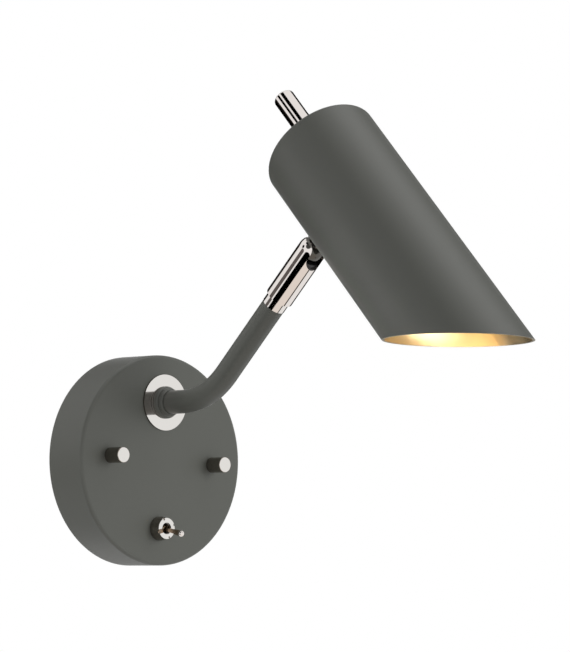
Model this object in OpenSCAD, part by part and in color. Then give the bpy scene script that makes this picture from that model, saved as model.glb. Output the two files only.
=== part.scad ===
// Bedside wall reading lamp: a round backplate with a toggle switch, a swivelling cranked arm,
// a ball knuckle and a slant-cut tubular shade with a polished rod on its closed end.
// Frame: the wall is the plane y = 0, the lamp stands out towards -Y, +Z is up and +X is to the
// right as seen from the room. The origin is the centre of the wall bracket's back face.

/* [Backplate] */
// Outside diameter of the backplate
plate_d = 120; // [112:1:150]
// Depth of the backplate from the wall to its face
plate_depth = 28; // [28:0.5:36]
// Sheet thickness of the backplate
plate_wall = 1.5; // [1:0.1:2]
// Radius of the rounded edge round the backplate's face
plate_edge = 2; // [1:0.25:4]

/* [Wall bracket] */
// Length of the bracket strap
strap_len = 92; // [90:1:100]
// Height of the bracket strap
strap_h = 24; // [22:1:28]
// Thickness of the bracket strap
strap_t = 2; // [1.5:0.25:2.5]
// Distance between the centres of the two slots for the wall screws
slot_spacing = 56; // [54:0.5:58]
// End-to-end length of each slot
slot_len = 11; // [8:0.5:12]
// Width of each slot
slot_w = 4.5; // [4:0.1:5.5]
// Distance between the two studs that carry the backplate
stud_spacing = 77; // [76:0.5:79]
// Diameter of the studs
stud_d = 4; // [3:0.5:4]
// Diameter of the cap nuts on the backplate's face
cap_d = 9; // [7.5:0.25:12]
// Length of the cap nuts
cap_len = 11.4; // [9:0.2:16]

/* [Arm] */
// Distance from the backplate's rim in to the arm's pivot
pivot_rim = 27; // [24:0.5:30]
// Diameter of the polished pivot disc
disc_d = 32; // [28:0.5:36]
// Thickness of the pivot disc
disc_t = 1; // [0.6:0.1:2]
// Outside diameter of the arm tube
tube_d = 13.4; // [12.4:0.1:14]
// Wall of the arm tube
tube_wall = 1; // [0.8:0.1:1.2]
// Distance from the wall to the corner where the arm's two centre lines meet
corner_out = 65.5; // [63:0.5:90]
// Angle of the arm's upper run above horizontal
arm_angle = 45; // [35:1:55]
// Bend radius of the arm's centre line
bend_r = 50; // [36:1:52]
// Distance from the corner to the knuckle's ball, along the upper run
reach = 113.6; // [100:0.5:180]
// Diameter of the collar at the arm's foot
collar_d = 18.5; // [18:0.1:22]
// Length of the collar
collar_len = 5.5; // [5:0.1:7]

/* [Knuckle] */
// Diameter of the knuckle barrel and of its rounded end
barrel_d = 16; // [15.6:0.1:17]
// Length of the barrel from the ball's centre to its lower end
barrel_len = 34.8; // [34:0.1:42]
// Diameter of the plain collar under the barrel
base_d = 13.6; // [13.2:0.1:15]
// Length of that collar
base_len = 6; // [4:0.1:9]
// Diameter of the ball
ball_d = 13.2; // [12.8:0.1:13.4]
// Width of the slot in the barrel's rounded end
notch_w = 10.8; // [10.2:0.1:11.2]
// How far the slot runs down the barrel's front below the ball's centre
notch_drop = 8; // [7.2:0.1:9]
// Height above the ball's centre at which the slot starts on the barrel's back
notch_back = 3.4; // [2.8:0.1:3.5]

/* [Shade] */
// Outside diameter of the shade
shade_d = 66; // [60:0.5:80]
// Length of the shade's longest side
shade_len = 189.5; // [180:0.5:240]
// Wall of the shade
shade_wall = 1.2; // [0.8:0.1:2]
// Radius of the edge round the shade's closed end
shade_edge = 1.5; // [0.8:0.1:4]
// Angle between the shade's mouth and its axis
mouth_angle = 45; // [40:1:60]
// Distance from the closed end to the axis of the ball stud
shade_grip = 36.6; // [34:0.2:50]
// Gap between the ball's centre and the shade's surface
shade_gap = 9.4; // [9.2:0.1:14]
// Diameter of the polished rod on the closed end
rod_d = 12; // [10.5:0.5:16]
// Length of the rod
rod_len = 45; // [20:1:80]

/* [Switch] */
// Distance from the backplate's rim in to the toggle switch
switch_rim = 21; // [19:0.5:23]
// Diameter of the round nut on the switch, at its foot
dress_d = 13.7; // [12:0.1:15]
// Length of that nut
dress_len = 6.7; // [6.4:0.1:8]
// Length of the lever from its pivot to its tip
lever_len = 17.6; // [14:0.2:22]
// Angle of the lever from the middle position, down at rest and up when switched over
lever_angle = 11; // [6:0.5:12]

/* [Lamp] */
// Diameter of the reflector lamp
lamp_d = 50; // [46:0.5:52]
// Length of the reflector lamp with its base, without pins
lamp_len = 50; // [46:0.5:56]
// Diameter of the ceramic lampholder
holder_d = 29; // [26:0.5:32]
// Length of the ceramic lampholder
holder_len = 22; // [18:0.5:26]
// Distance from the shade's closed end to the lampholder
holder_drop = 20; // [16:0.5:30]

/* [Hidden] */
$fn = 96;

// Colours
paint = [0.36, 0.36, 0.34];
nickel = [0.80, 0.77, 0.74];
zinc = [0.70, 0.71, 0.72];
brass = [0.78, 0.62, 0.33];
nylon = [0.92, 0.91, 0.86];
black_plastic = [0.09, 0.09, 0.10];
ceramic = [0.93, 0.91, 0.87];
glass = [0.85, 0.90, 0.92];
flex_white = [0.90, 0.90, 0.88];
blue_wire = [0.12, 0.32, 0.68];
brown_wire = [0.36, 0.20, 0.12];
earth_wire = [0.45, 0.66, 0.16];

// Clearances: static and running fits round a shaft, faces that slide past each other,
// and the overrun of every cutting shape
fit_gap = 0.05;
face_gap = 0.15;
over = 1;

// Bracket details
strap_corner = 4;
nut4_af = 7;
nut4_h = 3.2;
stud_grip = 7;
cap_bore = 8.5;
cap_edge = 0.5;
earth_x = 17.4;
earth_head_d = 7;
earth_head_h = 2.4;
earth_washer_d = 8;
earth_washer_t = 0.8;
screw_slot_w = 1;
screw_slot_t = 0.8;

// Terminal block: three poles side by side on the strap
poles = 3;
pole_pitch = 8;
block_h = 16;
block_depth = 14;
block_foot = 5;
pole_body_w = 6.6;
wire_hole_d = 3.2;
clamp_d = 3.4;
clamp_sink = 1.5;
block_screw_d = 2.6;
block_screw_head_d = 3.6;
block_screw_head_h = 1.4;

// Pivot stack behind the backplate's face, from the face inwards
nipple_d = 10;
nipple_bore = 7;
nipple_grip = 2.4;
nipple_flat = 0.8;
pivot_plate_d = 36;
pivot_plate_t = 2;
friction_d = 22;
friction_t = 0.8;
stop_t = 1.5;
stop_lug_w = 5;
stop_lug_r = 14.5;
stop_pin_d = 2.5;
stop_pin_r = 13;
stop_pin_h = 2.6;
cone_t = 0.8;
cone_rise = 0.6;
cone_d = 17;
jam_af = 14;
jam_h = 3;
jam_gap = 0.1;

// Arm details
collar_ring = 2.6;
collar_edge = 1.9;
groove_w = 0.5;
groove_deep = 0.5;
shoulder_d = 16.4;
collar_lip = 0.35;
flex_d = 5;
flex_end_gap = 0.3;
lead_end_gap = 0.6;
seam = 0.02;

// Knuckle details
seat_top = 5.3;
seat_len = 5;
seat_bore = 6.2;
spring_count = 4;
spring_wire = 0.7;
spring_hole = 6.4;
spigot_top = 17.4;
spigot_groove_at = 8.5;
spigot_groove_w = 3.4;
spigot_groove_deep = 1.2;
grub_d = 3;
grub_len = 2.2;
grub_hex = 1.5;
grub_turn = 215;
socket_len = 5;
spring_gap = 0.05;

// Ball stud details
neck_d = 9.6;
stud_bore = 5.6;
stud_thread_d = 9.8;
flange_d = 13;
flange_at = 6.9;
flange_t = 1.2;
saddle_d = 15;
saddle_rise = 1;
inner_saddle_t = 1.4;
stud_cone_d = 14;
stud_cone_t = 0.7;
stud_cone_rise = 0.5;
stud_nut_h = 3;
stud_tail = 1;
mouth_flare = 9;

// Rod and lampholder details
rod_edge = 1;
spigot_d = 6;
rod_washer_d = 14;
rod_washer_t = 1;
rod_nut_af = 10;
rod_nut_h = 4;
rod_spigot_tail = 0.8;
strap2_w = 12;
strap2_t = 1.2;
holder_ear_x = 17.5;
holder_ear_d = 9;
holder_ear_t = 4;
holder_screw_d = 3;
holder_screw_head_d = 5.5;
holder_screw_head_h = 2;
pin_spacing = 10;
pin_d = 4.6;
pin_shank_d = 3;
pin_len = 6.6;
pin_head = 2.2;
pin_slot_gap = 0.4;
lamp_base_d = 31;
lamp_base_len = 14;
lamp_rim = 4;
lamp_wall = 1.2;
lens_t = 2.4;
lens_inset = 1.4;
lead_d = 3.6;
lead_hole_deep = 3;

// Switch details
bush_d = 6.35;
bush_bore = 3.9;
bush_mouth = 5.6;
bush_front = 5.4;
inner_nut_af = 8;
inner_nut_h = 2;
lock_washer_d = 10;
lock_washer_t = 0.5;
switch_w = 8;
switch_h = 13;
switch_depth = 9.4;
lug_pitch = 4.7;
lug_w = 2;
lug_t = 0.8;
lug_len = 4;
dress_hole = 6.7;
dress_slope = 4.5;
dress_taper = 0.85;
dress_slots = 4;
dress_slot_w = 1.1;
dress_slot_deep = 0.8;
dress_slot_in = 2;
dress_slot_turn = 24;
lever_ball_d = 3.8;
lever_root_d = 2.2;
lever_neck_d = 2.6;
lever_tip_d = 3.6;
lever_pivot_in = 3;
lever_tail = 3;

// Derived places
pivot_z = plate_d / 2 - pivot_rim;
switch_drop = plate_d / 2 - switch_rim;
face = plate_depth;
inner_face = plate_depth - plate_wall;
disc_top = face + disc_t;
pole_x = [for (i = [0:poles - 1]) (i - (poles - 1) / 2) * pole_pitch];
slope = [0, -cos(arm_angle), sin(arm_angle)];
corner = [0, -corner_out, pivot_z];
bend_t = bend_r * tan(arm_angle / 2);
foot = disc_top + face_gap;
tube_start = foot + nipple_grip + fit_gap;
tube_end = reach - barrel_len - face_gap - base_len - seam;
bore_d = ball_d + 2 * fit_gap;
shade_r = shade_d / 2;
shade_in = shade_r - shade_wall;
mouth_mid = shade_len - shade_r / tan(mouth_angle);
lever_out = face + dress_len - lever_pivot_in;
saddle_foot = flange_at + flange_t + face_gap;
wall_in = shade_gap + shade_wall;
cone_at = wall_in + inner_saddle_t + face_gap;
nut_at = cone_at + stud_cone_t + stud_cone_rise;
stud_top = nut_at + stud_nut_h + stud_tail;
stack_1 = inner_face - pivot_plate_t;
stack_2 = stack_1 - friction_t - face_gap;
stack_3 = stack_2 - stop_t;
stack_4 = stack_3 - cone_t - cone_rise;
nipple_end = stack_4 - 2 * jam_h - jam_gap - face_gap;

// Routes of the wires, chosen by hand, in mm: x, y, z in the lamp's frame, and for the shade's
// flex in the shade's own frame
wire_d = 1.8;
neutral_route = [[-8, -9, 2], [-8, -9, 9], [-7, -9, 17], [-3.5, -7.5, 26], [-1.2, -8, 31],
    [-1.2, -11, 32.3], [-1.2, -14, 32.3]];
earth_route = [[8, -9, 2], [8, -9, 9], [7, -9, 17], [3.5, -7.5, 26], [1.2, -8, 31],
    [1.2, -11, 32.3], [1.2, -14, 32.3]];
earth_link_route = [[8, -9, -2], [8, -9, -9], [9.5, -7.5, -14.5], [14, -4, -15.5],
    [17.4, -3, -11], [17.4, -3, -4.4]];
live_route = [[0, -9, -2], [0, -9, -10], [3, -7, -19], [5, -5, -29], [3, -5, -36.5],
    [0, -7.5, -39], [0, -10.4, -39]];
switched_route = [[0, -10.4, -34.3], [0, -8.4, -34.2], [-3.5, -6.5, -31], [-10, -7, -23],
    [-15.5, -7, -12], [-16, -7, 2], [-14, -6, 14], [-8, -4.5, 24], [-2, -4, 31],
    [0, -6, 34.5], [0, -10, 34.6], [0, -14, 34.2]];
shade_flex_route = [[0, 24.7, -36.6], [0, 21.4, -35.9], [0, 18.9, -31], [0, 18.2, -24],
    [0, 15.5, -17.5], [0, 9, -14.2], [0, 3, -14.8], [0, 0, -19.7]];

// Turns a shape that stands on the XY plane so that it grows out from the wall
module outwards(z = 0) {
    translate([0, 0, z])
        rotate([90, 0, 0])
            children();
}

// Places a shape at a distance along the arm's upper run, with Z along the run
module on_slope(d) {
    translate(corner + d * slope)
        rotate([90 - arm_angle, 0, 0])
            children();
}

// Places a shape at a height above the ball's centre, with Z along the arm's upper run
module on_knuckle(z = 0) {
    on_slope(reach + z)
        children();
}

// The shade's own frame: the origin is the centre of the closed end, Z points out along the rod
// and +Y points to the knuckle
module on_shade() {
    on_knuckle()
        translate([0, shade_grip, shade_gap + shade_r])
            rotate([-90, 0, 0])
                children();
}

module ring(d, hole, h) {
    difference() {
        cylinder(d = d, h = h);
        translate([0, 0, -over])
            cylinder(d = hole, h = h + 2 * over);
    }
}

// A round bar with its top edge rounded
module soft_bar(d, h, edge) {
    rotate_extrude() {
        square([d / 2 - edge, h]);
        square([d / 2, h - edge]);
        translate([d / 2 - edge, h - edge])
            intersection() {
                circle(r = edge);
                square(edge);
            }
    }
}

module hex_nut(af, h, hole) {
    difference() {
        cylinder(d = af / cos(30), h = h, $fn = 6);
        translate([0, 0, -over])
            cylinder(d = hole, h = h + 2 * over);
    }
}

// A conical spring washer that rises towards its hole
module cone_washer(d, hole, t, rise) {
    rotate_extrude()
        polygon([[hole / 2, rise], [d / 2, 0], [d / 2, t], [hole / 2, rise + t]]);
}

module screw_head(d, h) {
    difference() {
        cylinder(d = d, h = h);
        translate([-d / 2 - over, -screw_slot_w / 2, h - screw_slot_t])
            cube([d + 2 * over, screw_slot_w, screw_slot_t + over]);
    }
}

// A smooth tube swept along hand-chosen points, with eight sides
function unit(v) = v / norm(v);
function smooth(p, t) = let (n = len(p) - 1, s = t * n, i = min(floor(s), n - 1), u = s - i,
    a = p[max(i - 1, 0)], b = p[i], c = p[i + 1], e = p[min(i + 2, n)])
    0.5 * (2 * b + (c - a) * u + (2 * a - 5 * b + 4 * c - e) * u * u
        + (3 * b - a - 3 * c + e) * u * u * u);
module swept(p, d, rings) {
    sides = 8;
    q = [for (i = [0:rings]) smooth(p, i / rings)];
    tan = [for (i = [0:rings]) unit(q[min(i + 1, rings)] - q[max(i - 1, 0)])];
    pts = [for (i = [0:rings]) let (u = unit(cross(tan[i], [1, 0, 0])), w = cross(tan[i], u))
        for (k = [0:sides - 1]) q[i] + d / 2 * (cos(360 * k / sides) * u + sin(360 * k / sides) * w)];
    skin = [for (i = [0:rings - 1], k = [0:sides - 1]) let (a = i * sides, b = a + sides,
        n = (k + 1) % sides) each [[a + k, b + k, b + n], [a + k, b + n, a + n]]];
    first = [for (k = [1:sides - 2]) [0, k, k + 1]];
    last = [for (k = [1:sides - 2]) [rings * sides, rings * sides + k + 1, rings * sides + k]];
    polyhedron(points = pts, faces = concat(skin, first, last), convexity = 8);
}

// Backplate and bracket
module backplate() {
    color(paint)
        difference() {
            outwards()
                difference() {
                    soft_bar(plate_d, plate_depth, plate_edge);
                    translate([0, 0, -over])
                        soft_bar(plate_d - 2 * plate_wall, inner_face + over,
                            max(plate_edge - plate_wall, fit_gap));
                }
            outwards(pivot_z)
                cylinder(d = nipple_d + 2 * fit_gap, h = face + over);
            outwards(-switch_drop)
                cylinder(d = bush_d + 2 * fit_gap, h = face + over);
            for (side = [-1, 1])
                translate([side * stud_spacing / 2, 0, 0])
                    outwards()
                        cylinder(d = stud_d + 2 * fit_gap, h = face + over);
        }
}

module wall_bracket() {
    color(zinc)
        outwards()
            difference() {
                union() {
                    translate([-strap_len / 2 + strap_corner, -strap_h / 2, 0])
                        cube([strap_len - 2 * strap_corner, strap_h, strap_t]);
                    translate([-strap_len / 2, -strap_h / 2 + strap_corner, 0])
                        cube([strap_len, strap_h - 2 * strap_corner, strap_t]);
                    for (sx = [-1, 1], sy = [-1, 1])
                        translate([sx * (strap_len / 2 - strap_corner),
                            sy * (strap_h / 2 - strap_corner), 0])
                            cylinder(r = strap_corner, h = strap_t);
                }
                for (side = [-1, 1]) {
                    translate([side * stud_spacing / 2, 0, -over])
                        cylinder(d = stud_d + 2 * fit_gap, h = strap_t + 2 * over);
                    translate([side * slot_spacing / 2, 0, -over])
                        wall_slot();
                    translate([side * pole_pitch / 2, 0, -over])
                        cylinder(d = block_screw_d + 2 * fit_gap, h = strap_t + 2 * over);
                }
                translate([earth_x, 0, -over])
                    cylinder(d = stud_d + 2 * fit_gap, h = strap_t + 2 * over);
            }
}

module wall_slot() {
    h = strap_t + 2 * over;
    run = slot_len - slot_w;
    translate([-run / 2, -slot_w / 2, 0])
        cube([run, slot_w, h]);
    for (side = [-1, 1])
        translate([side * run / 2, 0, 0])
            cylinder(d = slot_w, h = h);
}

module bracket_studs() {
    color(zinc)
        for (side = [-1, 1])
            translate([side * stud_spacing / 2, 0, 0])
                outwards()
                    cylinder(d = stud_d, h = face + stud_grip);
}

module stud_lock_nuts() {
    color(zinc)
        for (side = [-1, 1])
            translate([side * stud_spacing / 2, 0, 0])
                outwards()
                    translate([0, 0, strap_t])
                        hex_nut(nut4_af, nut4_h, stud_d + 2 * fit_gap);
}

module cap_nuts() {
    color(nickel)
        for (side = [-1, 1])
            translate([side * stud_spacing / 2, 0, 0])
                outwards()
                    translate([0, 0, face])
                        difference() {
                            soft_bar(cap_d, cap_len, cap_edge);
                            translate([0, 0, -over])
                                cylinder(d = stud_d + 2 * fit_gap, h = cap_bore + over);
                        }
}

module earth_screw() {
    color(brass)
        translate([earth_x, 0, 0])
            outwards() {
                cylinder(d = stud_d, h = strap_t + earth_washer_t + over);
                translate([0, 0, strap_t])
                    cylinder(d = earth_washer_d, h = earth_washer_t);
                translate([0, 0, strap_t + earth_washer_t])
                    screw_head(earth_head_d, earth_head_h);
            }
}

module terminal_block() {
    color(nylon)
        outwards()
            translate([0, 0, strap_t])
                difference() {
                    union() {
                        translate([-poles * pole_pitch / 2, -block_h / 2, 0])
                            cube([poles * pole_pitch, block_h, block_foot]);
                        for (x = pole_x)
                            translate([x - pole_body_w / 2, -block_h / 2, 0])
                                cube([pole_body_w, block_h, block_depth]);
                    }
                    for (x = pole_x) {
                        translate([x, block_h / 2 + over, block_depth / 2])
                            rotate([90, 0, 0])
                                cylinder(d = wire_hole_d, h = block_h + 2 * over);
                        for (side = [-1, 1])
                            translate([x, side * block_h / 4, block_depth / 2])
                                cylinder(d = clamp_d + 2 * fit_gap, h = block_depth);
                    }
                    for (side = [-1, 1])
                        translate([side * pole_pitch / 2, 0, 0]) {
                            translate([0, 0, -over])
                                cylinder(d = block_screw_d + 2 * fit_gap, h = block_depth);
                            translate([0, 0, block_foot])
                                cylinder(d = block_screw_head_d + 2 * fit_gap, h = block_depth);
                        }
                }
}

module terminal_clamp_screws() {
    color(brass)
        outwards()
            for (x = pole_x, side = [-1, 1])
                translate([x, side * block_h / 4,
                    strap_t + block_depth / 2 + wire_hole_d / 2])
                    screw_head(clamp_d, block_depth / 2 - wire_hole_d / 2 - clamp_sink);
}

module terminal_fixing_screws() {
    color(zinc)
        outwards()
            for (side = [-1, 1])
                translate([side * pole_pitch / 2, 0, 0]) {
                    cylinder(d = block_screw_d, h = strap_t + block_foot + over / 2);
                    translate([0, 0, strap_t + block_foot])
                        screw_head(block_screw_head_d, block_screw_head_h);
                }
}

// Pivot
module pivot_disc() {
    color(nickel)
        outwards(pivot_z)
            translate([0, 0, face])
                ring(disc_d, nipple_d + 2 * fit_gap, disc_t);
}

module pivot_plate() {
    color(zinc)
        outwards(pivot_z)
            translate([0, 0, stack_1]) {
                ring(pivot_plate_d, nipple_d + 2 * fit_gap, pivot_plate_t);
                translate([0, -stop_pin_r, -stop_pin_h])
                    cylinder(d = stop_pin_d, h = stop_pin_h);
            }
}

module pivot_friction_washer() {
    color(nylon)
        outwards(pivot_z)
            translate([0, 0, stack_1 - friction_t])
                ring(friction_d, nipple_d + 2 * fit_gap, friction_t);
}

// The flat that keys the nipple and its stop washer
module keyed(d, flat, h) {
    difference() {
        cylinder(d = d, h = h);
        translate([-d, d / 2 - flat, -over])
            cube([2 * d, d, h + 2 * over]);
    }
}

module pivot_nipple() {
    color(brass)
        outwards(pivot_z)
            difference() {
                union() {
                    translate([0, 0, nipple_end])
                        keyed(nipple_d, nipple_flat, stack_2 - nipple_end);
                    translate([0, 0, stack_2])
                        cylinder(d = nipple_d, h = foot + nipple_grip - stack_2);
                }
                translate([0, 0, nipple_end - over])
                    cylinder(d = nipple_bore, h = foot - nipple_end + nipple_grip + 2 * over);
            }
}

module pivot_stop_washer() {
    color(zinc)
        outwards(pivot_z)
            translate([0, 0, stack_3])
                difference() {
                    union() {
                        cylinder(d = friction_d, h = stop_t);
                        translate([-stop_lug_w / 2, 0, 0])
                            cube([stop_lug_w, stop_lug_r, stop_t]);
                    }
                    translate([0, 0, -over])
                        keyed(nipple_d + 2 * fit_gap, nipple_flat, stop_t + 2 * over);
                }
}

module pivot_spring_washer() {
    color(zinc)
        outwards(pivot_z)
            translate([0, 0, stack_4])
                cone_washer(cone_d, nipple_d + 2 * fit_gap, cone_t, cone_rise);
}

module pivot_lock_nuts() {
    color(brass)
        outwards(pivot_z)
            for (i = [1, 2])
                translate([0, 0, stack_4 - i * jam_h - (i - 1) * jam_gap])
                    rotate([0, 0, 30 * i])
                        hex_nut(jam_af, jam_h, nipple_d + 2 * fit_gap);
}

// Arm
module arm_collar() {
    lip_r = tube_d / 2 + fit_gap + collar_lip;
    rise = collar_len - collar_ring - groove_w;
    color(paint)
        outwards(pivot_z)
            translate([0, 0, foot])
                difference() {
                    union() {
                        soft_bar(collar_d, collar_ring, collar_edge);
                        cylinder(r = shoulder_d / 2 - groove_deep, h = collar_ring + groove_w);
                        rotate_extrude()
                            translate([0, collar_ring + groove_w]) {
                                square([lip_r, rise]);
                                intersection() {
                                    translate([lip_r - (rise - shoulder_d / 2 + lip_r), 0])
                                        circle(r = rise);
                                    square([shoulder_d / 2, rise]);
                                }
                            }
                    }
                    translate([0, 0, nipple_grip])
                        cylinder(d = tube_d + 2 * fit_gap, h = collar_len);
                    translate([0, 0, -over])
                        cylinder(d = nipple_d + 2 * fit_gap, h = collar_len);
                }
}

// A round bar that follows the arm's cranked centre line: the upper run starts inside the bend,
// a hair thinner, so that the two are one solid
module arm_run(d, from, to) {
    lower = corner_out - bend_t - from;
    outwards(pivot_z)
        translate([0, 0, from])
            cylinder(d = d, h = lower);
    translate([0, bend_t - corner_out, pivot_z + bend_r])
        rotate([0, 90, 180])
            rotate_extrude(angle = arm_angle)
                translate([bend_r, 0])
                    circle(d = d);
    on_slope(bend_t - over)
        cylinder(d = d - 2 * seam, h = to - bend_t + over);
}

module arm_tube() {
    color(paint)
        difference() {
            arm_run(tube_d, tube_start, tube_end);
            arm_run(tube_d - 2 * tube_wall, tube_start - over, tube_end + over);
        }
}

module arm_flex() {
    color(flex_white)
        arm_run(flex_d, nipple_end + flex_end_gap, reach - spigot_top);
}

// Knuckle: z = 0 is the ball's centre
module knuckle_base() {
    neck = tube_d - 2 * tube_wall - 2 * fit_gap;
    color(nickel)
        on_knuckle()
            difference() {
                union() {
                    translate([0, 0, -barrel_len - face_gap - base_len])
                        cylinder(d = base_d, h = base_len);
                    translate([0, 0, -barrel_len - face_gap])
                        cylinder(d = bore_d - 2 * fit_gap, h = barrel_len + face_gap - spigot_top);
                    translate([0, 0, -barrel_len - face_gap - base_len - socket_len])
                        cylinder(d = neck, h = socket_len + over);
                }
                translate([0, 0, -barrel_len - base_len - socket_len - over])
                    cylinder(d = spring_hole, h = barrel_len + base_len + socket_len);
                translate([0, 0, -barrel_len + spigot_groove_at - spigot_groove_w / 2])
                    ring(barrel_d, bore_d - 2 * fit_gap - 2 * spigot_groove_deep, spigot_groove_w);
            }
}

module knuckle_barrel() {
    r = barrel_d / 2;
    foot_z = -notch_drop + notch_w / 2;
    color(nickel)
        on_knuckle()
            difference() {
                rotate_extrude() {
                    translate([0, -barrel_len])
                        square([r, barrel_len]);
                    intersection() {
                        circle(r = r);
                        square(r);
                    }
                }
                sphere(d = bore_d);
                translate([0, 0, -barrel_len - over])
                    cylinder(d = bore_d, h = barrel_len + over);
                translate([-notch_w / 2, -r - over, foot_z])
                    cube([notch_w, r + over, r + over - foot_z]);
                translate([0, 0, foot_z])
                    rotate([90, 0, 0])
                        cylinder(d = notch_w, h = r + over);
                translate([-notch_w / 2, 0, notch_back])
                    cube([notch_w, r + over, r]);
                grub_place()
                    cylinder(d = grub_d + 2 * fit_gap, h = barrel_d);
            }
}

module grub_place() {
    translate([0, 0, -barrel_len + spigot_groove_at])
        rotate([0, 0, grub_turn])
            rotate([90, 0, 0])
                children();
}

module ball_seat() {
    color(black_plastic)
        on_knuckle()
            difference() {
                translate([0, 0, -seat_top - seat_len])
                    cylinder(d = ball_d, h = seat_len);
                sphere(d = bore_d);
                translate([0, 0, -seat_top - seat_len - over])
                    cylinder(d = seat_bore, h = seat_len + 2 * over);
            }
}

module disc_springs() {
    pitch = (spigot_top - seat_top - seat_len) / spring_count;
    color(zinc)
        on_knuckle()
            for (i = [0:spring_count - 1])
                translate([0, 0, -spigot_top + i * pitch])
                    mirrored(i % 2 == 1, pitch - spring_gap)
                        cone_washer(ball_d - 4 * fit_gap, spring_hole, spring_wire,
                            pitch - spring_wire - spring_gap);
}

// Turns every other spring washer over, within its own height
module mirrored(flip, h) {
    translate([0, 0, flip ? h : 0])
        mirror([0, 0, flip ? 1 : 0])
            children();
}

module knuckle_grub_screw() {
    reach_in = bore_d / 2 - fit_gap - spigot_groove_deep + face_gap;
    color(zinc)
        on_knuckle()
            grub_place()
                translate([0, 0, reach_in])
                    difference() {
                        cylinder(d = grub_d, h = grub_len);
                        translate([0, 0, grub_len / 2])
                            cylinder(d = grub_hex / cos(30), h = grub_len, $fn = 6);
                    }
}

module knuckle_flex() {
    low = -spigot_top + flex_end_gap;
    color(flex_white)
        on_knuckle(low)
            cylinder(d = flex_d, h = -ball_d / 2 - face_gap - low);
}

// Ball stud and what turns with it
module ball_stud() {
    color(nickel)
        on_knuckle()
            difference() {
                union() {
                    sphere(d = ball_d);
                    cylinder(d = neck_d, h = flange_at);
                    translate([0, 0, flange_at])
                        cylinder(d = flange_d, h = flange_t);
                    translate([0, 0, flange_at])
                        cylinder(d = stud_thread_d, h = stud_top - flange_at);
                }
                translate([0, 0, -ball_d])
                    cylinder(d = stud_bore, h = ball_d + stud_top + over);
                translate([0, 0, -ball_d / 2 - over])
                    cylinder(d1 = mouth_flare + over, d2 = stud_bore, h = ball_d / 4 + over);
            }
}

module saddle_washer() {
    color(nickel)
        on_knuckle()
            difference() {
                translate([0, 0, saddle_foot])
                    ring(saddle_d, stud_thread_d + 2 * fit_gap,
                        shade_gap + saddle_rise - saddle_foot);
                shade_tool(shade_r + fit_gap);
            }
}

module inner_saddle_washer() {
    color(zinc)
        on_knuckle()
            intersection() {
                translate([0, 0, shade_gap])
                    ring(saddle_d, stud_thread_d + 2 * fit_gap, shade_wall + inner_saddle_t);
                shade_tool(shade_in - fit_gap);
            }
}

// A bar of the shade's size, on the shade's axis, in the knuckle's frame
module shade_tool(r) {
    translate([0, saddle_d, shade_gap + shade_r])
        rotate([90, 0, 0])
            cylinder(r = r, h = 2 * saddle_d, $fn = 4 * $fn);
}

module stud_spring_washer() {
    color(zinc)
        on_knuckle(cone_at)
            cone_washer(stud_cone_d, stud_thread_d + 2 * fit_gap, stud_cone_t, stud_cone_rise);
}

module stud_nut() {
    color(brass)
        on_knuckle(nut_at)
            hex_nut(jam_af, stud_nut_h, stud_thread_d + 2 * fit_gap);
}

module stud_flex() {
    color(flex_white)
        on_knuckle(lead_end_gap - ball_d / 2)
            cylinder(d = lead_d, h = ball_d / 2 - lead_end_gap + stud_top);
}

// Shade and rod
module shade() {
    big = 2 * shade_len;
    color(paint)
        on_shade()
            difference() {
                mirror([0, 0, 1])
                    difference() {
                        translate([0, 0, shade_len])
                            mirror([0, 0, 1])
                                soft_bar(shade_d, shade_len, shade_edge);
                        translate([0, 0, shade_len + shade_wall])
                            mirror([0, 0, 1])
                                soft_bar(2 * shade_in, shade_len,
                                    max(shade_edge - shade_wall, fit_gap));
                    }
                translate([0, 0, -mouth_mid])
                    rotate([90 - mouth_angle, 0, 0])
                        translate([-big, -big, -2 * big])
                            cube(2 * big);
                translate([0, 0, -shade_grip])
                    rotate([-90, 0, 0])
                        cylinder(d = stud_thread_d + 2 * fit_gap, h = shade_r + over);
                translate([0, 0, -shade_wall - over])
                    cylinder(d = spigot_d + 2 * fit_gap, h = shade_wall + 2 * over);
            }
}

module shade_rod() {
    below = shade_wall + strap2_t + rod_washer_t + rod_nut_h + rod_spigot_tail;
    color(nickel)
        on_shade() {
            soft_bar(rod_d, rod_len, rod_edge);
            translate([0, 0, -below])
                cylinder(d = spigot_d, h = below + over);
        }
}

module rod_washer() {
    color(zinc)
        on_shade()
            translate([0, 0, -shade_wall - strap2_t - rod_washer_t])
                ring(rod_washer_d, spigot_d + 2 * fit_gap, rod_washer_t);
}

module rod_nut() {
    color(zinc)
        on_shade()
            translate([0, 0, -shade_wall - strap2_t - rod_washer_t - rod_nut_h])
                hex_nut(rod_nut_af, rod_nut_h, spigot_d + 2 * fit_gap);
}

// Lampholder and lamp
module holder_bracket() {
    outer = 2 * holder_ear_x + holder_ear_d;
    drop = holder_drop - shade_wall;
    tab = holder_ear_d;
    color(zinc)
        on_shade()
            difference() {
                union() {
                    translate([-outer / 2, -strap2_w / 2, -shade_wall - strap2_t])
                        cube([outer, strap2_w, strap2_t]);
                    for (side = [-1, 1]) {
                        translate([side * (outer - strap2_t) / 2 - strap2_t / 2,
                            -strap2_w / 2, -shade_wall - drop])
                            cube([strap2_t, strap2_w, drop]);
                        translate([side * (outer - tab) / 2 - tab / 2, -strap2_w / 2,
                            -shade_wall - drop])
                            cube([tab, strap2_w, strap2_t]);
                    }
                }
                translate([0, 0, -shade_wall - strap2_t - over])
                    cylinder(d = spigot_d + 2 * fit_gap, h = strap2_t + 2 * over);
                for (side = [-1, 1])
                    translate([side * holder_ear_x, 0, -holder_drop - over])
                        cylinder(d = holder_screw_d + 2 * fit_gap, h = strap2_t + 2 * over);
            }
}

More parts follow.
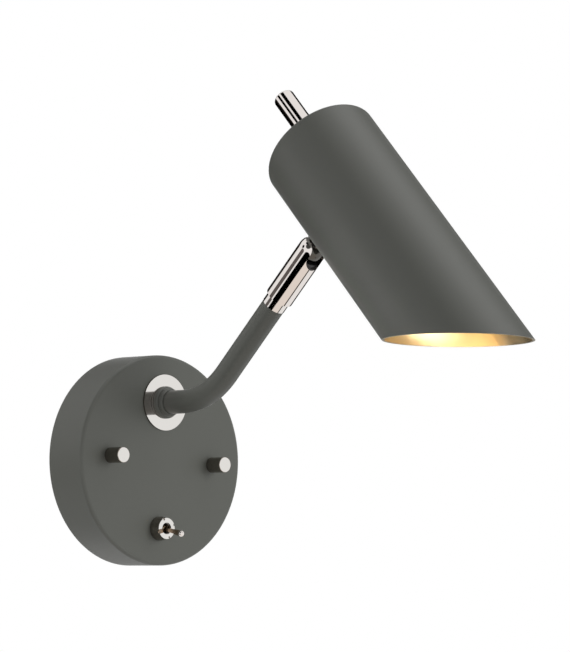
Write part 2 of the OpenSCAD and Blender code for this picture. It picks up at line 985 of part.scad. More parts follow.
module holder_screws() {
    color(zinc)
        on_shade()
            for (side = [-1, 1])
                translate([side * holder_ear_x, 0, -holder_drop - holder_ear_t]) {
                    cylinder(d = holder_screw_d, h = holder_ear_t + strap2_t + over / 2);
                    translate([0, 0, holder_ear_t + strap2_t])
                        screw_head(holder_screw_head_d, holder_screw_head_h);
                }
}

module lampholder() {
    color(ceramic)
        on_shade()
            translate([0, 0, -holder_drop])
                difference() {
                    union() {
                        translate([0, 0, -holder_len])
                            cylinder(d = holder_d, h = holder_len);
                        for (side = [-1, 1])
                            translate([side * holder_ear_x, 0, -holder_ear_t])
                                cylinder(d = holder_ear_d, h = holder_ear_t);
                    }
                    for (side = [-1, 1]) {
                        translate([side * holder_ear_x, 0, -holder_ear_t - over])
                            cylinder(d = holder_screw_d + 2 * fit_gap,
                                h = holder_ear_t + 2 * over);
                        translate([side * pin_spacing / 2, 0, -holder_len - over])
                            cylinder(d = pin_d + 2 * pin_slot_gap,
                                h = pin_len + pin_slot_gap + over);
                    }
                    translate([0, 0, -lead_hole_deep])
                        cylinder(d = lead_d + 2 * fit_gap, h = lead_hole_deep + over);
                }
}

module lamp_pins() {
    color(zinc)
        on_shade()
            for (side = [-1, 1])
                translate([side * pin_spacing / 2, 0, -holder_drop - holder_len - face_gap]) {
                    cylinder(d = pin_shank_d, h = pin_len);
                    translate([0, 0, pin_len - pin_head])
                        cylinder(d = pin_d, h = pin_head);
                }
}

module lamp_body() {
    top = -holder_drop - holder_len - face_gap;
    color(ceramic)
        on_shade()
            translate([0, 0, top])
                mirror([0, 0, 1])
                    rotate_extrude()
                        polygon([
                            [0, 0],
                            [lamp_base_d / 2, 0],
                            [lamp_base_d / 2, lamp_base_len],
                            [lamp_d / 2, lamp_len - lamp_rim],
                            [lamp_d / 2, lamp_len],
                            [lamp_d / 2 - lamp_wall, lamp_len],
                            [lamp_d / 2 - lamp_wall, lamp_len - lamp_rim],
                            [lamp_base_d / 2 - lamp_wall, lamp_base_len + lamp_wall],
                            [0, lamp_base_len + lamp_wall]
                        ]);
}

module lamp_lens() {
    low = -holder_drop - holder_len - face_gap - lamp_len + lens_inset;
    color(glass)
        on_shade()
            translate([0, 0, low])
                cylinder(d = lamp_d - 2 * lamp_wall - 2 * fit_gap, h = lens_t);
}

module head_flex() {
    color(flex_white)
        on_shade()
            swept(shade_flex_route, lead_d, 20);
}

// Toggle switch
module on_switch(d) {
    outwards(-switch_drop)
        translate([0, 0, d])
            children();
}

module switch_body() {
    color(black_plastic)
        on_switch(inner_face - lock_washer_t - inner_nut_h - switch_depth)
            translate([-switch_w / 2, -switch_h / 2, 0])
                cube([switch_w, switch_h, switch_depth]);
}

module switch_terminals() {
    color(zinc)
        on_switch(inner_face - lock_washer_t - inner_nut_h - switch_depth - lug_len)
            for (i = [-1, 0, 1])
                translate([-lug_w / 2, i * lug_pitch - lug_t / 2, 0])
                    cube([lug_w, lug_t, lug_len]);
}

module switch_bush() {
    base = inner_face - lock_washer_t - inner_nut_h;
    cup = lever_out - base;
    color(nickel)
        on_switch(base)
            difference() {
                cylinder(d = bush_d, h = face + bush_front - base);
                translate([0, 0, cup - lever_ball_d / 2 - lever_tail])
                    cylinder(d = bush_bore, h = lever_ball_d / 2 + lever_tail + lever_ball_d / 4);
                translate([0, 0, cup])
                    cylinder(d1 = bush_bore, d2 = bush_mouth, h = face + bush_front - base - cup);
                translate([0, 0, cup])
                    cylinder(d = bush_bore, h = face + bush_front - base);
            }
}

module switch_inner_nut() {
    color(zinc)
        on_switch(inner_face - lock_washer_t - inner_nut_h)
            hex_nut(inner_nut_af, inner_nut_h, bush_d + 2 * fit_gap);
}

module switch_lock_washer() {
    color(zinc)
        on_switch(inner_face - lock_washer_t)
            ring(lock_washer_d, bush_d + 2 * fit_gap, lock_washer_t);
}

module switch_dress_nut() {
    color(nickel)
        on_switch(face)
            difference() {
                rotate_extrude()
                    polygon([
                        [0, 0],
                        [dress_d / 2, 0],
                        [dress_d / 2, dress_len - dress_slope],
                        [dress_d / 2 - dress_taper, dress_len],
                        [0, dress_len]
                    ]);
                translate([0, 0, -over])
                    cylinder(d = bush_d + 2 * fit_gap, h = dress_len + 2 * over);
                translate([0, 0, bush_front])
                    cylinder(d = dress_hole, h = dress_len);
                for (i = [0:dress_slots - 1])
                    rotate([0, 0, dress_slot_turn + i * 360 / dress_slots])
                        translate([dress_d / 2 - dress_slot_in, -dress_slot_w / 2,
                            dress_len - dress_slot_deep])
                            cube([dress_d, dress_slot_w, dress_slot_deep + over]);
            }
}

module switch_lever() {
    color(nickel)
        on_switch(lever_out)
            rotate([lever_angle, 0, 0]) {
                sphere(d = lever_ball_d);
                translate([0, 0, -lever_tail])
                    cylinder(d = lever_root_d, h = lever_tail);
                cylinder(d1 = lever_root_d, d2 = lever_neck_d, h = lever_len / 2);
                translate([0, 0, lever_len / 2])
                    cylinder(d1 = lever_neck_d, d2 = lever_tip_d,
                        h = lever_len / 2 - lever_tip_d / 2);
                translate([0, 0, lever_len - lever_tip_d / 2])
                    sphere(d = lever_tip_d);
            }
}

// Wires inside the backplate
module wire_neutral() {
    color(blue_wire)
        swept(neutral_route, wire_d, 14);
}

module wire_live() {
    color(brown_wire)
        swept(live_route, wire_d, 16);
}

module wire_switched() {
    color(brown_wire)
        swept(switched_route, wire_d, 28);
}

module wire_earth() {
    color(earth_wire) {
        swept(earth_route, wire_d, 14);
        swept(earth_link_route, wire_d, 12);
    }
}

backplate();
wall_bracket();
bracket_studs();
stud_lock_nuts();
cap_nuts();
earth_screw();
terminal_block();
terminal_clamp_screws();
terminal_fixing_screws();
pivot_disc();
pivot_plate();
pivot_friction_washer();
switch_body();
switch_terminals();
switch_bush();
switch_inner_nut();
switch_lock_washer();
switch_dress_nut();
switch_lever();
wire_neutral();
wire_live();
wire_switched();
wire_earth();
pivot_nipple();
pivot_stop_washer();
pivot_spring_washer();
pivot_lock_nuts();
arm_collar();
arm_tube();
arm_flex();
knuckle_base();
knuckle_barrel();
ball_seat();
disc_springs();
knuckle_grub_screw();
knuckle_flex();
ball_stud();
stud_nut();
stud_spring_washer();
stud_flex();
saddle_washer();
inner_saddle_washer();
shade();
shade_rod();
rod_washer();
rod_nut();
holder_bracket();
holder_screws();
lampholder();
lamp_body();
lamp_pins();
lamp_lens();
head_flex();
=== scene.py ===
"""Looks of the bedside wall reading lamp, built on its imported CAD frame.

Units are metres in the lamp's own frame: the wall is the plane y = 0, the lamp stands out
towards -Y, +Z is up and +X is to the right as seen from the room.
"""

import math

import bpy
from mathutils import Matrix, Vector


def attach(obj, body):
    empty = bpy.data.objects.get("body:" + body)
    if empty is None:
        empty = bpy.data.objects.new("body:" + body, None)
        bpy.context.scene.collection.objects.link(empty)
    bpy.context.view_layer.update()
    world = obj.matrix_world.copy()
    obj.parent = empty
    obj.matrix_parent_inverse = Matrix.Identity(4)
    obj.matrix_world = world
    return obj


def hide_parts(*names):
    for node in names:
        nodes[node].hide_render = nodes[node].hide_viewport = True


MM = 0.001

# The photograph's camera, fitted to points of the lamp that can be told for sure
IMAGE_W, IMAGE_H = 570, 652
CAM_YAW, CAM_PITCH, CAM_ROLL = math.radians(42.98), math.radians(5.81), math.radians(2.26)
CAM_DISTANCE = 2.1404
CAM_FOCAL_PX = 3792.16
CAM_TARGET = Vector((0, -60 * MM, 0))
CAM_TARGET_PX = (199.33, 458.99)
SENSOR = 36.0

# Sizes repeated from the part's source
BALL = Vector((0, -145.827, 113.327)) * MM
SHADE_R, SHADE_WALL = 33 * MM, 1.2 * MM
SHADE_AXIS_OUT = 9.4 * MM + SHADE_R
WIRE_D, LEAD_D = 1.8 * MM, 3.6 * MM
RISE = Vector((0, -math.sqrt(0.5), math.sqrt(0.5)))
BACK = Vector((0, math.sqrt(0.5), math.sqrt(0.5)))
SHADE_GRIP = 36.6 * MM
SHADE_TOP = BALL + RISE * SHADE_AXIS_OUT + BACK * SHADE_GRIP
LEVER_TIP, LEVER_TIP_R = Vector((0, -47.21, -42.01)) * MM, 1.85 * MM
LAMP_NECK_R = 4 * MM

# Routes of the wires, as in the part's source, in mm
NEUTRAL_ROUTE = [(-8, -9, 2), (-8, -9, 9), (-7, -9, 17), (-3.5, -7.5, 26), (-1.2, -8, 31),
                 (-1.2, -11, 32.3), (-1.2, -14, 32.3)]
EARTH_ROUTE = [(8, -9, 2), (8, -9, 9), (7, -9, 17), (3.5, -7.5, 26), (1.2, -8, 31),
               (1.2, -11, 32.3), (1.2, -14, 32.3)]
EARTH_LINK_ROUTE = [(8, -9, -2), (8, -9, -9), (9.5, -7.5, -14.5), (14, -4, -15.5),
                    (17.4, -3, -11), (17.4, -3, -4.4)]
LIVE_ROUTE = [(0, -9, -2), (0, -9, -10), (3, -7, -19), (5, -5, -29), (3, -5, -36.5),
              (0, -7.5, -39), (0, -10.4, -39)]
SWITCHED_ROUTE = [(0, -10.4, -34.3), (0, -8.4, -34.2), (-3.5, -6.5, -31), (-10, -7, -23),
                  (-15.5, -7, -12), (-16, -7, 2), (-14, -6, 14), (-8, -4.5, 24), (-2, -4, 31),
                  (0, -6, 34.5), (0, -10, 34.6), (0, -14, 34.2)]
SHADE_FLEX_ROUTE = [(0, 24.7, -36.6), (0, 21.4, -35.9), (0, 18.9, -31), (0, 18.2, -24),
                    (0, 15.5, -17.5), (0, 9, -14.2), (0, 3, -14.8), (0, 0, -19.7)]

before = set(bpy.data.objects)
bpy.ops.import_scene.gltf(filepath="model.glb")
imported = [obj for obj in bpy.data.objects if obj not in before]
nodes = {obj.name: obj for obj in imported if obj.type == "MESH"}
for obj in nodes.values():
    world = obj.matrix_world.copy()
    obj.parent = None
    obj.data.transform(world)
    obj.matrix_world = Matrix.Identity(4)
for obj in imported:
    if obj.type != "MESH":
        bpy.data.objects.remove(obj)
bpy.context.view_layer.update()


# Shader nodes and materials

# The colour sockets of a Mix node: its two inputs and its output
MIX_A, MIX_B, MIX_OUT = 6, 7, 2
# The depth of the fine relief in painted, cast and moulded surfaces, at its full strength
RELIEF_DEPTH = 0.05 * MM


class Tree:
    """A small wrapper that makes and links shader nodes, in an emptied tree or a kept one."""

    def __init__(self, tree, keep=False):
        self.tree = tree
        if not keep:
            self.tree.nodes.clear()

    def add(self, kind, **values):
        """A new node, with each value set on the node itself or on its input of that name."""
        node = self.tree.nodes.new(kind)
        for key, value in values.items():
            if hasattr(node, key):
                setattr(node, key, value)
            else:
                node.inputs[key.replace("_", " ")].default_value = value
        return node

    def link(self, source, target):
        self.tree.links.new(source, target)

    def math(self, operation, a, b):
        """The result of a maths node whose two inputs are numbers or sockets."""
        node = self.add("ShaderNodeMath", operation=operation)
        for socket, value in zip(node.inputs, (a, b)):
            if isinstance(value, (int, float)):
                socket.default_value = value
            else:
                self.link(value, socket)
        return node.outputs[0]


def shaded(colour, factor):
    """The colour, lighter or darker by the factor, with an alpha of one."""
    return (*(min(1.0, c * factor) for c in colour), 1.0)


def surface(name, colour, roughness, metallic=0.0, spread=0.05, grain=400.0, bump=0.0,
            bump_scale=2500.0, rough_spread=0.08, **sockets):
    """A material whose colour, gloss and fine relief vary as on the real surface."""
    mat = bpy.data.materials.new(name)
    mat.use_nodes = True
    t = Tree(mat.node_tree)
    out = t.add("ShaderNodeOutputMaterial")
    bsdf = t.add("ShaderNodeBsdfPrincipled")
    bsdf.inputs["Metallic"].default_value = metallic
    for key, value in sockets.items():
        bsdf.inputs[key.replace("_", " ")].default_value = value
    t.link(bsdf.outputs[0], out.inputs[0])
    where = t.add("ShaderNodeTexCoord").outputs["Object"]
    noise = t.add("ShaderNodeTexNoise", Scale=grain, Detail=4.0)
    t.link(where, noise.inputs["Vector"])
    tint = t.add("ShaderNodeMix", data_type="RGBA")
    tint.inputs[MIX_A].default_value = shaded(colour, 1 - spread)
    tint.inputs[MIX_B].default_value = shaded(colour, 1 + spread)
    t.link(noise.outputs[0], tint.inputs[0])
    t.link(tint.outputs[MIX_OUT], bsdf.inputs["Base Color"])
    rough = t.add("ShaderNodeMapRange")
    rough.inputs["To Min"].default_value = roughness * (1 - rough_spread)
    rough.inputs["To Max"].default_value = roughness * (1 + rough_spread)
    t.link(noise.outputs[0], rough.inputs[0])
    t.link(rough.outputs[0], bsdf.inputs["Roughness"])
    if bump:
        fine = t.add("ShaderNodeTexNoise", Scale=bump_scale, Detail=3.0)
        t.link(where, fine.inputs["Vector"])
        relief = t.add("ShaderNodeBump", Strength=bump, Distance=RELIEF_DEPTH)
        t.link(fine.outputs[0], relief.inputs["Height"])
        t.link(relief.outputs[0], bsdf.inputs["Normal"])
    return mat


PAINT = (0.098, 0.101, 0.089)
M = {
    "paint": surface("satin_grey_paint", PAINT, 0.46, spread=0.03, bump=0.10, bump_scale=3000,
                     Sheen_Weight=0.3, Sheen_Roughness=0.25),
    "gold": surface("gold_lining", (0.92, 0.74, 0.46), 0.31, metallic=0.93, spread=0.015,
                    grain=120),
    "nickel": surface("polished_nickel", (0.77, 0.72, 0.69), 0.055, metallic=1.0, spread=0.01,
                      rough_spread=0.3, grain=900),
    # A pale tone on the shade's cut edge: a painted highlight of the light it catches
    "rim": surface("pale_cut_edge_painted_highlight", (0.50, 0.46, 0.38), 0.45, metallic=0.3, spread=0.04),
    "neck": surface("satin_nickel", (0.76, 0.72, 0.69), 0.08, metallic=1.0, spread=0.02,
                    grain=900),
    "zinc": surface("zinc_plate", (0.62, 0.63, 0.64), 0.34, metallic=1.0, spread=0.06,
                    bump=0.05),
    "brass": surface("turned_brass", (0.78, 0.60, 0.30), 0.28, metallic=1.0, spread=0.05,
                     bump=0.04),
    "nylon": surface("moulded_nylon", (0.80, 0.79, 0.73), 0.42, spread=0.02, bump=0.06),
    "black": surface("moulded_black", (0.02, 0.02, 0.022), 0.38, spread=0.10, bump=0.06),
    "ceramic": surface("glazed_ceramic", (0.80, 0.78, 0.72), 0.22, spread=0.02, bump=0.02),
    "flex": surface("flex_sheath", (0.72, 0.72, 0.70), 0.48, spread=0.02, bump=0.05),
    "blue": surface("blue_insulation", (0.03, 0.12, 0.50), 0.38, spread=0.04),
    "brown": surface("brown_insulation", (0.13, 0.055, 0.025), 0.38, spread=0.04),
    # Polished steel darkened: painted shade in the switch bush's hollow and a painted dark
    # reflection on the ball stud
    "stud": surface("steel_painted_shade_and_dark_reflection", (0.10, 0.095, 0.085), 0.12, metallic=1.0,
                    spread=0.10, grain=900),
    # The lever's nickel shaft tinted brown: a painted warm reflection
    "lever": surface("lever_shaft_painted_reflection", (0.32, 0.24, 0.165), 0.26, metallic=1.0, spread=0.10,
                     grain=900),
    # Polished nickel darkened: a painted dark reflection for the sides of the nuts and the disc
    "side": surface("nickel_side_painted_dark_reflection", (0.26, 0.24, 0.21), 0.10, metallic=1.0,
                    spread=0.10, grain=900),
    "reflector": surface("bright_reflector", (0.88, 0.88, 0.87), 0.16, metallic=1.0,
                         spread=0.02, bump=0.05),
}


# The lit glass: how strongly it glows at its brightest place and far from it, and where that
# place lies from the lens's middle, in radii of the lens
LAMP_GLOW, LAMP_EDGE_GLOW = 5.0, 0.05
GLOW_SIDE = 0.25 * Vector((0.547, -0.591, 0.591))


def glass_material():
    """The lamp's front glass, lit, and brightest a little to one side of its middle."""
    mat = surface("lamp_glass", (0.95, 0.96, 0.97), 0.05, spread=0.01)
    bsdf = mat.node_tree.nodes["Principled BSDF"]
    bsdf.inputs["Transmission Weight"].default_value = 0.3
    bsdf.inputs["Emission Color"].default_value = (1.0, 0.93, 0.80, 1.0)
    lens = nodes["lamp_lens"].data.vertices
    middle = sum((v.co for v in lens), Vector()) / len(lens)
    radius = max((v.co - middle).length for v in lens)
    middle += GLOW_SIDE * radius
    t = Tree(mat.node_tree, keep=True)
    away = t.add("ShaderNodeVectorMath", operation="DISTANCE")
    away.inputs[1].default_value = middle
    t.link(t.tree.nodes["Texture Coordinate"].outputs["Object"], away.inputs[0])
    glow = t.add("ShaderNodeMapRange", interpolation_type="SMOOTHSTEP", From_Max=radius,
                 To_Min=LAMP_GLOW, To_Max=LAMP_EDGE_GLOW)
    t.link(away.outputs["Value"], glow.inputs[0])
    t.link(glow.outputs[0], bsdf.inputs["Emission Strength"])
    return mat


# The earth wire's stripes: how close they lie, where in the wave their edge starts and ends,
# and their colours
STRIPE_SCALE, STRIPE_START, STRIPE_END = 260.0, 0.55, 0.62
STRIPE_GREEN, STRIPE_YELLOW = (0.10, 0.36, 0.06), (0.75, 0.62, 0.04, 1.0)


def striped_insulation():
    """Green insulation with a yellow stripe wound round it."""
    mat = surface("striped_insulation", STRIPE_GREEN, 0.38, spread=0.04)
    t = Tree(mat.node_tree, keep=True)
    bsdf = t.tree.nodes["Principled BSDF"]
    green = bsdf.inputs["Base Color"].links[0].from_socket
    wave = t.add("ShaderNodeTexWave", bands_direction="DIAGONAL", Scale=STRIPE_SCALE)
    t.link(t.tree.nodes["Texture Coordinate"].outputs["Object"], wave.inputs["Vector"])
    step = t.add("ShaderNodeMapRange", From_Min=STRIPE_START, From_Max=STRIPE_END)
    t.link(wave.outputs["Fac"], step.inputs[0])
    mix = t.add("ShaderNodeMix", data_type="RGBA")
    mix.inputs[MIX_B].default_value = STRIPE_YELLOW
    t.link(step.outputs[0], mix.inputs[0])
    t.link(green, mix.inputs[MIX_A])
    t.link(mix.outputs[MIX_OUT], bsdf.inputs["Base Color"])
    return mat


M["glass"] = glass_material()
M["earth"] = striped_insulation()

LOOKS = {
    "paint": ["backplate", "arm_collar", "arm_tube", "shade"],
    "stud": ["ball_stud", "switch_bush"],
    "nickel": ["cap_nuts", "pivot_disc", "knuckle_barrel", "saddle_washer", "shade_rod",
               "switch_dress_nut"],
    "neck": ["knuckle_base"],
    "lever": ["switch_lever"],
    "zinc": ["wall_bracket", "bracket_studs", "stud_lock_nuts", "terminal_fixing_screws",
             "pivot_plate", "pivot_stop_washer", "pivot_spring_washer", "switch_inner_nut",
             "switch_lock_washer", "switch_terminals", "disc_springs", "knuckle_grub_screw",
             "stud_spring_washer", "inner_saddle_washer", "rod_washer", "rod_nut",
             "holder_bracket", "holder_screws", "lamp_pins"],
    "brass": ["earth_screw", "terminal_clamp_screws", "pivot_nipple", "pivot_lock_nuts",
              "stud_nut"],
    "nylon": ["terminal_block", "pivot_friction_washer"],
    "black": ["switch_body", "ball_seat"],
    "ceramic": ["lampholder", "lamp_body"],
    "glass": ["lamp_lens"],
    "flex": ["arm_flex", "knuckle_flex", "stud_flex", "head_flex"],
    "blue": ["wire_neutral"],
    "brown": ["wire_live", "wire_switched"],
    "earth": ["wire_earth"],
}


def dress(obj, *materials):
    """Gives the object these materials, in place of its own."""
    obj.data.materials.clear()
    for material in materials:
        obj.data.materials.append(material)


for look, names in LOOKS.items():
    for name in names:
        dress(nodes[name], M[look])


# Pieces of the scene's own

# Cosines between a face's normal and a direction: the least for a face that looks that way,
# the least for a flat end without its rounded edge, and the most for a face at its side
FACING, FLAT_END, SIDEWAYS = 0.9, 0.93, 0.3


def copy_of(node, name):
    """A mesh like a CAD node's, which may be given more than one material."""
    obj = bpy.data.objects.new(name, nodes[node].data.copy())
    bpy.context.collection.objects.link(obj)
    return obj


def lined_shade():
    """The shade with its painted outside, its gold inside and its pale cut edge, a painted
    highlight.
    """
    obj = copy_of("shade", "lined_shade")
    dress(obj, M["paint"], M["gold"], M["rim"])
    # The lining's faces lie within a tenth of the wall of its inner radius, and below the
    # middle of the closed end's wall
    lining_r, lining_top = SHADE_R - 0.9 * SHADE_WALL, -0.5 * SHADE_WALL
    for face in obj.data.polygons:
        rel = face.center - SHADE_TOP
        along = rel.dot(BACK)
        radial = rel - BACK * along
        inside = radial.length < lining_r and along < lining_top
        inward = face.normal.dot(radial) < 0 or face.normal.dot(BACK) < -FACING
        cut_edge = face.normal.z < -FACING
        if inside and inward:
            face.material_index = 1
        # The cut edge gets the pale painted highlight
        elif cut_edge:
            face.material_index = 2
        else:
            face.material_index = 0
    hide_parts("shade")
    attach(obj, "head")


def two_tone(node, name, looks, body, is_second):
    """A copy of a CAD node in which the chosen faces get the second of its two materials."""
    obj = copy_of(node, name)
    dress(obj, *(M[look] for look in looks))
    for face in obj.data.polygons:
        face.material_index = 1 if is_second(face) else 0
    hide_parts(node)
    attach(obj, body)


def faces_sideways(face):
    """The side of a round piece that stands out from the wall, which gets the painted dark
    reflection.
    """
    return abs(face.normal.y) < SIDEWAYS


def below_the_end(face):
    """The side and rounded edge of a round piece that stands out from the wall, which get the
    painted dark reflection.
    """
    return abs(face.normal.y) < FLAT_END


def at_the_tip(face):
    """The ball end of the lever."""
    return (face.center - LEVER_TIP).length < LEVER_TIP_R


def in_the_bowl(face):
    """The inside of the lamp's bowl, above its base."""
    rel = face.center - SHADE_TOP
    radial = rel - BACK * rel.dot(BACK)
    return face.normal.dot(radial) < 0 and radial.length > LAMP_NECK_R


def spline(points, steps):
    """A Catmull-Rom curve through the points, the same curve as in the part's source."""
    line = []
    last = len(points) - 1
    for i in range(last):
        a, b, c, e = (points[max(i - 1, 0)], points[i], points[i + 1], points[min(i + 2, last)])
        for s in range(steps + (i == last - 1)):
            u = s / steps
            line.append(0.5 * (2 * b + (c - a) * u + (2 * a - 5 * b + 4 * c - e) * u * u
                               + (3 * b - a - 3 * c + e) * u * u * u))
    return line


def tube(name, routes, diameter, material, body, node, place=None, sides=16, steps=6):
    """A smooth round tube along each route, in place of a faceted CAD wire."""
    verts, faces = [], []
    for route in routes:
        points = [place(p) if place else Vector(p) * MM for p in route]
        line = spline(points, steps)
        first = len(verts)
        for i, p in enumerate(line):
            tangent = (line[min(i + 1, len(line) - 1)] - line[max(i - 1, 0)]).normalized()
            u = tangent.cross(Vector((1, 0, 0))).normalized()
            w = tangent.cross(u)
            for k in range(sides):
                angle = 2 * math.pi * k / sides
                verts.append(p + (u * math.cos(angle) + w * math.sin(angle)) * diameter / 2)
        rings = len(line)
        for i in range(rings - 1):
            for k in range(sides):
                a, b = first + i * sides + k, first + i * sides + (k + 1) % sides
                faces.append((a, b, b + sides, a + sides))
        faces.append([first + k for k in reversed(range(sides))])
        faces.append([first + (rings - 1) * sides + k for k in range(sides)])
    mesh = bpy.data.meshes.new(name)
    mesh.from_pydata(verts, [], faces)
    mesh.shade_smooth()
    obj = bpy.data.objects.new(name, mesh)
    bpy.context.collection.objects.link(obj)
    dress(obj, material)
    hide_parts(node)
    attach(obj, body)


def from_shade(p):
    """A point given in mm in the shade's own frame."""
    return SHADE_TOP + Vector((p[0], 0, 0)) * MM - RISE * (p[1] * MM) + BACK * (p[2] * MM)


lined_shade()
# The sides of the cap nuts, switch nut and disc get a painted dark reflection, and the lever's
# shaft a painted brown reflection
two_tone("cap_nuts", "cap_nut_pair", ("nickel", "side"), "base", below_the_end)
two_tone("switch_lever", "toggle_lever", ("lever", "nickel"), "lever", at_the_tip)
two_tone("switch_dress_nut", "slotted_round_nut", ("nickel", "side"), "base",
         faces_sideways)
two_tone("pivot_disc", "polished_disc", ("nickel", "side"), "base", faces_sideways)
two_tone("lamp_body", "mirrored_lamp_body", ("ceramic", "reflector"), "head",
         in_the_bowl)
tube("neutral_wire", [NEUTRAL_ROUTE], WIRE_D, M["blue"], "base", "wire_neutral")
tube("live_wire", [LIVE_ROUTE], WIRE_D, M["brown"], "base", "wire_live")
tube("switched_wire", [SWITCHED_ROUTE], WIRE_D, M["brown"], "base", "wire_switched")
tube("earth_wires", [EARTH_ROUTE, EARTH_LINK_ROUTE], WIRE_D, M["earth"], "base", "wire_earth")
tube("shade_flex", [SHADE_FLEX_ROUTE], LEAD_D, M["flex"], "head", "head_flex",
     place=from_shade)


# Camera

def aim(yaw, pitch, roll):
    """The camera's right, up and forward directions."""
    forward = Vector((math.sin(yaw) * math.cos(pitch), math.cos(yaw) * math.cos(pitch),
                      math.sin(pitch)))
    right = Vector((math.cos(yaw), -math.sin(yaw), 0))
    up = right.cross(forward)
    c, s = math.cos(roll), math.sin(roll)
    return c * right + s * up, -s * right + c * up, forward


def make_camera():
    """A camera at the photograph's place and angle."""
    right, up, forward = aim(CAM_YAW, CAM_PITCH, CAM_ROLL)
    metres_per_px = CAM_DISTANCE / CAM_FOCAL_PX
    place = (CAM_TARGET - forward * CAM_DISTANCE
             - right * ((CAM_TARGET_PX[0] - IMAGE_W / 2) * metres_per_px)
             + up * ((CAM_TARGET_PX[1] - IMAGE_H / 2) * metres_per_px))
    data = bpy.data.cameras.new("camera")
    data.sensor_width = SENSOR
    data.sensor_fit = "AUTO"
    data.lens = CAM_FOCAL_PX * SENSOR / IMAGE_H
    data.clip_end = 50
    cam = bpy.data.objects.new("camera", data)
    turn = Matrix((right, up, -forward)).transposed()
    cam.matrix_world = Matrix.Translation(place) @ turn.to_4x4()
    bpy.context.collection.objects.link(cam)
    bpy.context.scene.camera = cam


# Studio

# Flags and tinted screens of the studio, seen only in gloss: azimuth from -Y towards +X,
# elevation and radius, all in degrees, and the light that they leave
DARK, DIM, WALL_SIDE = (0.0, 0.0, 0.0), (0.13, 0.115, 0.11), (0.02, 0.018, 0.015)
FLAGS = [
    (-91, -38.5, 20, DARK),
    (-92, 53, 14, DARK),
    (-124, -5, 13.3, DIM),
    (-121, 21, 9.5, DARK),
    (160, 12, 31.5, WALL_SIDE),
    (-179, -15, 21, WALL_SIDE),
    (-160, -8, 14, (0.025, 0.02, 0.018)),
    (130, 8, 36, (0.04, 0.036, 0.03)),
    (110, 35, 13, (0.03, 0.028, 0.025)),
    (55, -61, 4.2, (0.06, 0.05, 0.04)),
    (-72, 26, 21, (0.06, 0.06, 0.055)),
    (43, 6, 12, (0.96, 1.0, 1.0)),
    (-25, -70, 30, (0.93, 0.86, 0.80)),
]
# The width of a flag's soft edge in degrees
FLAG_EDGE = 1.2
# The world's strength where it lights matt surfaces, and the tone that the floor shows beside
# the light on it
AMBIENT, FLOOR_PALE = 0.36, 0.4
FLOOR_HALF, FLOOR_Z = 8.0, -0.55
FLOOR_COLOUR = (0.86, 0.86, 0.86, 1)
WHITE = (1, 1, 1, 1)


def make_world():
    """White to the eye, soft on matt surfaces, and with the flags in gloss."""
    world = bpy.data.worlds.new("studio")
    bpy.context.scene.world = world
    world.use_nodes = True
    t = Tree(world.node_tree)
    out = t.add("ShaderNodeOutputWorld")
    ray = t.add("ShaderNodeLightPath").outputs
    look = t.add("ShaderNodeTexCoord").outputs["Generated"]
    level = None
    for azimuth, elevation, radius, left in FLAGS:
        a, e = math.radians(azimuth), math.radians(elevation)
        dot = t.add("ShaderNodeVectorMath", operation="DOT_PRODUCT")
        t.link(look, dot.inputs[0])
        dot.inputs[1].default_value = (math.sin(a) * math.cos(e), -math.cos(a) * math.cos(e),
                                       math.sin(e))
        edge = t.add("ShaderNodeMapRange", interpolation_type="SMOOTHSTEP")
        edge.inputs["From Min"].default_value = math.cos(math.radians(radius + FLAG_EDGE))
        edge.inputs["From Max"].default_value = math.cos(math.radians(radius))
        t.link(dot.outputs["Value"], edge.inputs[0])
        tone = t.add("ShaderNodeMix", data_type="RGBA")
        tone.inputs[MIX_A].default_value = WHITE
        tone.inputs[MIX_B].default_value = (*left, 1)
        t.link(edge.outputs[0], tone.inputs[0])
        if level is None:
            level = tone.outputs[MIX_OUT]
            continue
        both = t.add("ShaderNodeMix", data_type="RGBA", blend_type="MULTIPLY")
        both.inputs[0].default_value = 1.0
        t.link(level, both.inputs[MIX_A])
        t.link(tone.outputs[MIX_OUT], both.inputs[MIX_B])
        level = both.outputs[MIX_OUT]
    shown = t.math("MAXIMUM", ray["Is Camera Ray"], ray["Is Transmission Ray"])
    soft = t.math("MULTIPLY", ray["Is Diffuse Ray"], AMBIENT)
    plain = t.add("ShaderNodeBackground")
    t.link(t.math("MAXIMUM", shown, soft), plain.inputs["Strength"])
    plain.inputs["Color"].default_value = WHITE
    studio = t.add("ShaderNodeBackground")
    t.link(level, studio.inputs["Color"])
    studio.inputs["Strength"].default_value = 1.0
    either = t.add("ShaderNodeMixShader")
    t.link(ray["Is Glossy Ray"], either.inputs[0])
    t.link(plain.outputs[0], either.inputs[1])
    t.link(studio.outputs[0], either.inputs[2])
    t.link(either.outputs[0], out.inputs[0])


def soft_box(name, place, aim_at, size, power, glossy=False, only=None, spread=180):
    """A soft rectangular lamp in watts, with its spread in degrees, for all or some pieces."""
    data = bpy.data.lights.new(name, "AREA")
    data.shape = "RECTANGLE"
    data.size, data.size_y = size
    data.energy = power
    data.spread = math.radians(spread)
    obj = bpy.data.objects.new(name, data)
    obj.location = place
    obj.rotation_euler = (Vector(aim_at) - Vector(place)).to_track_quat("-Z", "Y").to_euler()
    obj.visible_camera = False
    obj.visible_glossy = glossy
    bpy.context.collection.objects.link(obj)
    if only:
        group = bpy.data.collections.new(name + "_receivers")
        for piece in only:
            group.objects.link(piece)
        obj.light_linking.receiver_collection = group


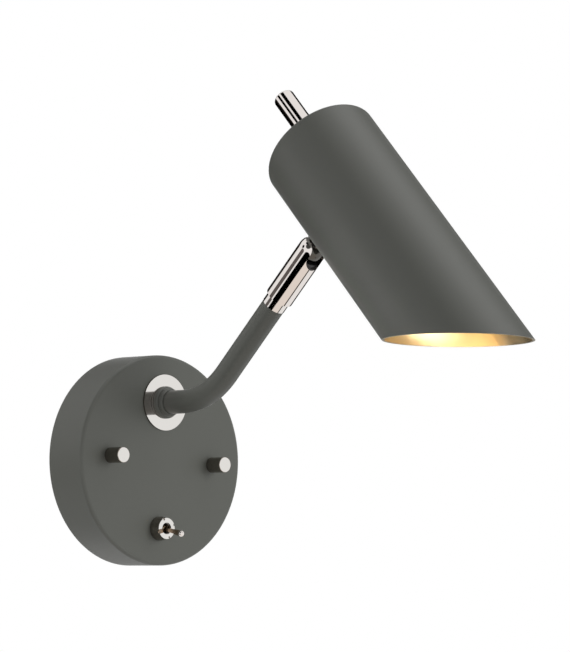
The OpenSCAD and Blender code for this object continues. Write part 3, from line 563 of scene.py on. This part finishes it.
def make_floor():
    """A plain pale floor, below what the photograph's camera sees, which keeps the shadow."""
    corners = [(-FLOOR_HALF, -FLOOR_HALF, FLOOR_Z), (FLOOR_HALF, -FLOOR_HALF, FLOOR_Z),
               (FLOOR_HALF, FLOOR_HALF, FLOOR_Z), (-FLOOR_HALF, FLOOR_HALF, FLOOR_Z)]
    mesh = bpy.data.meshes.new("floor")
    mesh.from_pydata(corners, [], [(0, 1, 2, 3)])
    floor = bpy.data.objects.new("floor", mesh)
    bpy.context.collection.objects.link(floor)
    mat = bpy.data.materials.new("pale_floor")
    mat.use_nodes = True
    t = Tree(mat.node_tree)
    out = t.add("ShaderNodeOutputMaterial")
    diffuse = t.add("ShaderNodeBsdfDiffuse")
    diffuse.inputs[0].default_value = FLOOR_COLOUR
    pale = t.add("ShaderNodeEmission")
    pale.inputs[0].default_value = WHITE
    ray = t.add("ShaderNodeLightPath").outputs
    t.link(t.math("MULTIPLY", ray["Is Camera Ray"], FLOOR_PALE), pale.inputs["Strength"])
    both = t.add("ShaderNodeAddShader")
    t.link(diffuse.outputs[0], both.inputs[0])
    t.link(pale.outputs[0], both.inputs[1])
    t.link(both.outputs[0], out.inputs[0])
    dress(floor, mat)
    floor.visible_glossy = False


make_camera()
make_world()
make_floor()
shade = bpy.data.objects["lined_shade"]
all_but_shade = [obj for obj in bpy.context.scene.objects
                 if obj.type == "MESH" and obj.name not in ("floor", "lined_shade")]
painted = [nodes[n] for n in ("backplate", "arm_collar", "arm_tube")] + [shade]
# Both left fills stay off the floor, so that its shadow keeps its depth
LEFT_SIDE, LAMP_MIDDLE, LEFT_SIZE = (-1.7, 0.7, 0.1), (0, -0.2, 0.08), (1.2, 1.2)
soft_box("key", place=(1.0, -2.75, 0.8), aim_at=(0, -0.15, 0.05), size=(1.3, 1.3), power=30)
soft_box("left_fill", LEFT_SIDE, LAMP_MIDDLE, LEFT_SIZE, power=14, only=all_but_shade)
soft_box("shade_fill", LEFT_SIDE, LAMP_MIDDLE, LEFT_SIZE, power=9.5, only=[shade])
soft_box("top", place=(0.42, -0.50, 1.72), aim_at=(0, -0.2, 0.12), size=(1.0, 1.0),
         power=4.0, glossy=True, only=painted)
soft_box("mouth_fill", place=(-0.25, 0.47, -0.03), aim_at=(0, -0.285, 0.05),
         size=(0.12, 0.12), power=0.042, only=[shade], spread=26)
soft_box("plate_fill", place=(0.5, -2.4, -0.4), aim_at=(0, 0, 0), size=(1.0, 1.0),
         power=12.0, only=[nodes["backplate"]])
bpy.context.scene.view_settings.view_transform = "Standard"
